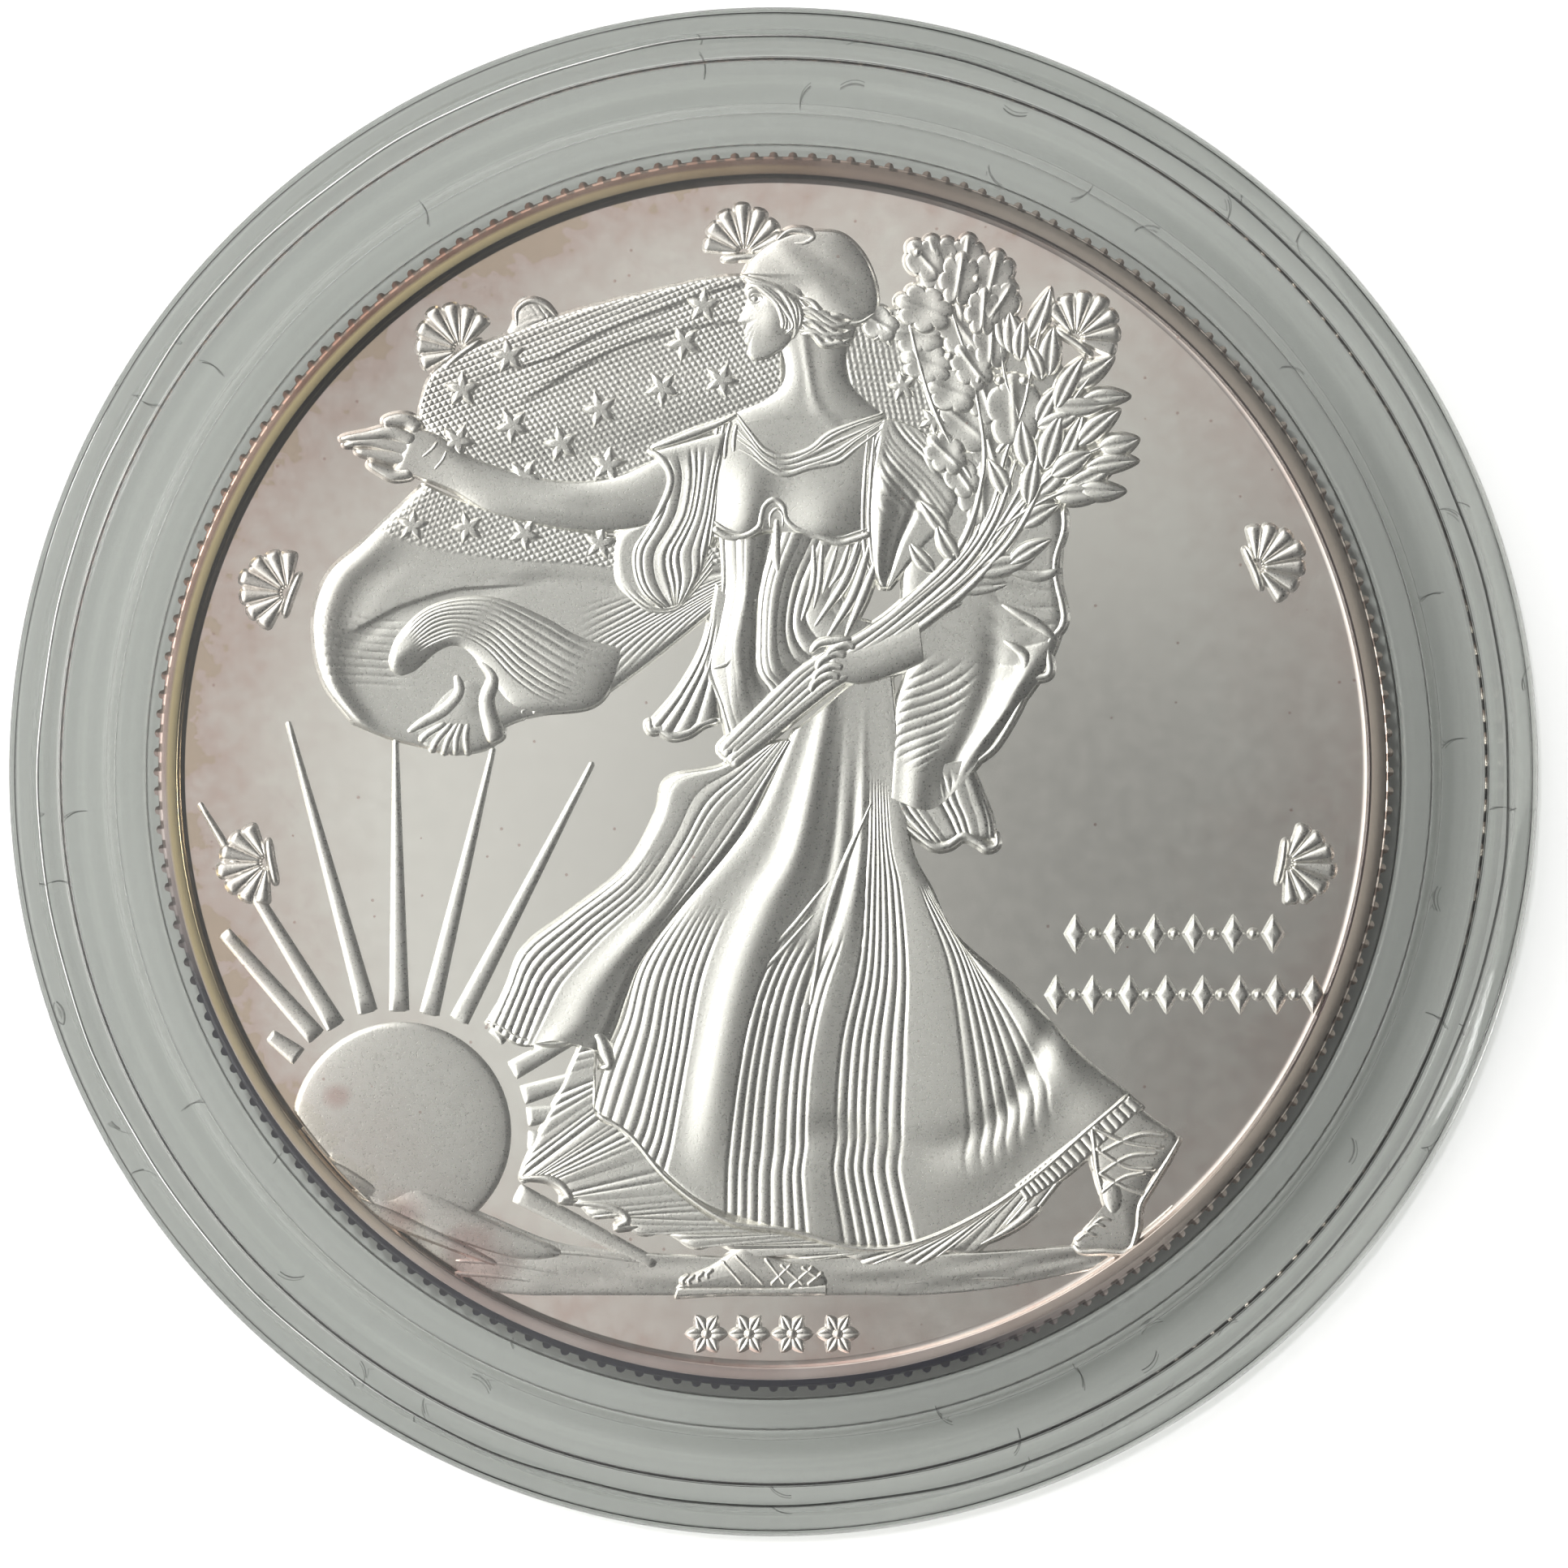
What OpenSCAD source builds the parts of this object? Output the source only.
// Round two-part capsule for one coin: a clear base with a seat ring, a clear lid whose
// skirt plugs into the base's groove, and the reeded silver coin that it holds.
// Millimetres, +Z up, origin at the centre of the underside.

/* [Coin] */
// Diameter of the coin over its reeds
coin_d = 40.6; // [38:0.1:41]
// Thickness of the coin over its rims
coin_t = 2.98; // [2.4:0.02:3.4]
// Width of the raised rim
rim_w = 0.85; // [0.6:0.05:1.4]
// Depth of the field below the rim, on each face
field_depth = 0.36; // [0.25:0.01:0.5]
// Number of reeds round the edge
reed_count = 200; // [80:10:240]
// Depth of a reed
reed_depth = 0.16; // [0.08:0.02:0.24]
// Height of the design above the field
relief_h = 0.2; // [0.1:0.01:0.24]

/* [Capsule] */
// Outside diameter
capsule_d = 50; // [50:0.5:60]
// Thickness of each clear window
window_t = 1.5; // [1.2:0.1:2.5]
// Free height between the coin and the lid
headroom = 0.22; // [0.1:0.02:0.6]
// Radial gap between the coin and its seat ring
seat_gap = 0.25; // [0.1:0.05:0.3]
// Height of the seat ring above the floor
seat_h = 2.5; // [1.5:0.1:2.8]
// Depth of the step round each face's edge
step_h = 0.3; // [0.1:0.05:0.4]
// Radius on the outer edges
edge_r = 0.35; // [0.2:0.05:0.5]

/* [Closure] */
// Width of the seat ring
seat_w = 1.05; // [0.8:0.05:1.2]
// Gap between the seat ring and the lid's skirt
skirt_gap = 0.25; // [0.15:0.05:0.4]
// Width of the lid's skirt
skirt_w = 1.55; // [1.2:0.05:1.6]
// Radial clearance of the skirt in the base's wall
skirt_fit = 0.04; // [0.02:0.01:0.1]
// Gap under the skirt
skirt_end_gap = 0.25; // [0.1:0.05:0.5]
// Height of the parting line above the underside
parting_z = 3.1; // [2.6:0.1:3.4]
// Lead-in on the skirt, the seat ring and the parting edges
lead = 0.2; // [0.1:0.05:0.3]

/* [Hidden] */

ARC_FN = 128;
JOIN = 0.05; // how far one joined solid runs into the next

coin_r = coin_d / 2;
capsule_r = capsule_d / 2;
capsule_t = 2 * window_t + coin_t + headroom;
seat_in = coin_r + seat_gap;
seat_out = seat_in + seat_w;
skirt_in = seat_out + skirt_gap;
skirt_out = skirt_in + skirt_w;
wall_in = skirt_out + skirt_fit;
flange_r = capsule_r - 0.7;
plateau_r = flange_r - 0.45;
seat_top = window_t + seat_h;
skirt_bottom = window_t + skirt_end_gap;
ceiling_z = capsule_t - window_t;

field_r = coin_r - rim_w;
field_z = coin_t - field_depth;
rim_chamfer = 0.22;

// Sun on the obverse: centre, radius, and its rays by angle and reach
SUN = [-12.2, -11.8];
sun_r = 3.5;
ray_first = 63;
ray_step = 14;
ray_count = 5;
ray_from = 4.2;
ray_to = 13.2;
ray_w = 0.42;

// Outlines on the obverse, from the coin's centre
GROUND = [[-15.4, -12.9], [-13.2, -14.1], [-10.4, -14.6], [-6.6, -15.9], [0, -16.7],
    [6, -15.9], [10.2, -15.7], [13.4, -14.6], [9, -17.3], [-9, -17.3]];
SKIRT = [[-1.8, 8], [3, 8], [3.4, 1], [5.4, -4.6], [9, -7.6], [11.8, -11.4], [12, -13.4],
    [9, -15.3], [4.5, -16.2], [-2, -15.7], [-6.8, -14.7], [-8.2, -13.6], [-6.2, -9.6],
    [-9.2, -8.4], [-8.2, -5.6], [-4.6, -3.2], [-1.8, 1]];
BODICE = [[-1.6, 7.6], [-2.4, 11.4], [-0.6, 12.6], [2.2, 12.6], [5.8, 10.8], [6.2, 5],
    [4.6, 3.4], [3, 7.6]];
ARM = [[-2, 11.6], [-3.6, 11], [-10.2, 9.6], [-12, 10.4], [-14.2, 11.2], [-12.4, 9.4],
    [-10, 8.6], [-6.4, 7.8], [-2, 8.6]];
CLOAK = [[-9.2, 15.2], [-1.2, 16.2], [-0.8, 12], [-2.2, 6.8], [-3, 5.2], [-6.2, 2.4],
    [-9.2, 1.2], [-10.9, 0.6], [-13.6, 1.8], [-14.9, 4.2], [-14.6, 6.6], [-12.4, 9.4],
    [-11.6, 12]];
BOUGH = [[2.6, 13.6], [5.2, 17.2], [8, 15.6], [11.4, 12.2], [11, 9.4], [8.6, 7.4], [5.6, 6]];
CLOAK_TAIL = [[5.6, 6], [8.9, 6.8], [9.3, 2.8], [7.6, 0.2], [7, -2.4], [4.6, -1.8], [4.2, 2]];
HEAD = [0.8, 14.9];
head_r = 1.9;

// Wreath and rosette on the reverse
wreath_r = 14.2;
wreath_leaves = 40;
leaf_l = 3.2;
leaf_w = 1.2;
petal_count = 12;
petal_r = 5.2;

module turned(section_fn = ARC_FN) {
    rotate_extrude($fn = section_fn) children();
}

// A lens-shaped leaf along +X, from its stem at the origin
module leaf(length, width, height) {
    bend_r = (length * length + width * width) / (4 * width);
    linear_extrude(height = height)
        intersection() {
            translate([length / 2, width / 2 - bend_r]) circle(r = bend_r, $fn = 96);
            translate([length / 2, bend_r - width / 2]) circle(r = bend_r, $fn = 96);
        }
}

// One face of the base: its window, foot step, groove, seat ring and outer wall
module base_section() {
    polygon([
        [0, 0], [plateau_r, 0], [flange_r, step_h], [capsule_r - edge_r, step_h],
        [capsule_r, step_h + edge_r], [capsule_r, parting_z - lead],
        [capsule_r - lead, parting_z], [wall_in + lead, parting_z], [wall_in, parting_z - lead],
        [wall_in, window_t], [seat_out, window_t], [seat_out, seat_top - lead],
        [seat_out - lead, seat_top], [seat_in + lead, seat_top], [seat_in, seat_top - lead],
        [seat_in, window_t], [0, window_t]]);
    translate([capsule_r - edge_r, step_h + edge_r]) circle(r = edge_r, $fn = 64);
}

// The lid: its window, stacking step, outer flange and skirt
module lid_section() {
    polygon([
        [0, ceiling_z], [skirt_in, ceiling_z], [skirt_in, skirt_bottom + lead],
        [skirt_in + lead, skirt_bottom], [skirt_out - lead, skirt_bottom],
        [skirt_out, skirt_bottom + lead], [skirt_out, parting_z],
        [capsule_r - lead, parting_z], [capsule_r, parting_z + lead],
        [capsule_r, capsule_t - step_h - edge_r], [capsule_r - edge_r, capsule_t - step_h],
        [flange_r, capsule_t - step_h], [plateau_r, capsule_t], [0, capsule_t]]);
    translate([capsule_r - edge_r, capsule_t - step_h - edge_r]) circle(r = edge_r, $fn = 64);
}

module base_shell() {
    color([0.78, 0.8, 0.77, 0.4]) turned() base_section();
}

module lid_shell() {
    color([0.82, 0.84, 0.81, 0.4]) turned() lid_section();
}

// The blank: a reeded edge, chamfered rims and a field sunk into each face
module blank() {
    difference() {
        intersection() {
            linear_extrude(height = coin_t)
                polygon([for (i = [0 : 2 * reed_count - 1])
                    let (a = 180 * i / reed_count, r = coin_r - (i % 2) * reed_depth)
                    [r * cos(a), r * sin(a)]]);
            turned()
                polygon([[0, 0], [coin_r - rim_chamfer, 0], [coin_r + JOIN, rim_chamfer + JOIN],
                    [coin_r + JOIN, coin_t - rim_chamfer - JOIN],
                    [coin_r - rim_chamfer, coin_t], [0, coin_t]]);
        }
        translate([0, 0, field_z]) cylinder(r = field_r, h = field_depth + JOIN, $fn = ARC_FN);
        translate([0, 0, -JOIN]) cylinder(r = field_r, h = field_depth + JOIN, $fn = ARC_FN);
    }
}

module ray(angle, reach) {
    rotate(angle)
        polygon([[ray_from, -ray_w / 2], [reach, -ray_w / 5], [reach, ray_w / 5],
            [ray_from, ray_w / 2]]);
}

module sunrise() {
    translate(SUN) {
        circle(r = sun_r, $fn = 96);
        for (i = [0 : ray_count - 1])
            ray(ray_first + i * ray_step, i == ray_count - 1 ? ray_to - 4.6 : ray_to);
    }
}

module figure() {
    polygon(SKIRT);
    polygon(BODICE);
    polygon(ARM);
    polygon(CLOAK);
    polygon(BOUGH);
    polygon(CLOAK_TAIL);
    translate(HEAD) circle(r = head_r, $fn = 64);
    translate([HEAD[0] - 0.8, HEAD[1] - 3.2]) square([1.9, 2.2]);
}

module obverse() {
    linear_extrude(height = relief_h + JOIN) {
        intersection() {
            union() {
                polygon(GROUND);
                sunrise();
            }
            circle(r = field_r - 0.4, $fn = ARC_FN);
        }
        figure();
    }
}

module reverse() {
    for (i = [0 : wreath_leaves - 1])
        rotate([0, 0, i * 360 / wreath_leaves])
            translate([wreath_r, 0, 0])
                rotate([0, 0, 60 + 60 * (i % 2)])
                    leaf(leaf_l, leaf_w, relief_h + JOIN);
    for (i = [0 : petal_count - 1])
        rotate([0, 0, i * 360 / petal_count])
            translate([1.4, 0, 0]) leaf(petal_r, 1.3, relief_h + JOIN);
    cylinder(r = 2, h = relief_h + JOIN, $fn = 64);
}

module coin() {
    color("silver")
        translate([0, 0, window_t]) {
            blank();
            translate([0, 0, field_z - JOIN]) obverse();
            translate([0, 0, field_depth + JOIN]) mirror([0, 0, 1]) reverse();
        }
}

base_shell();
lid_shell();
coin();
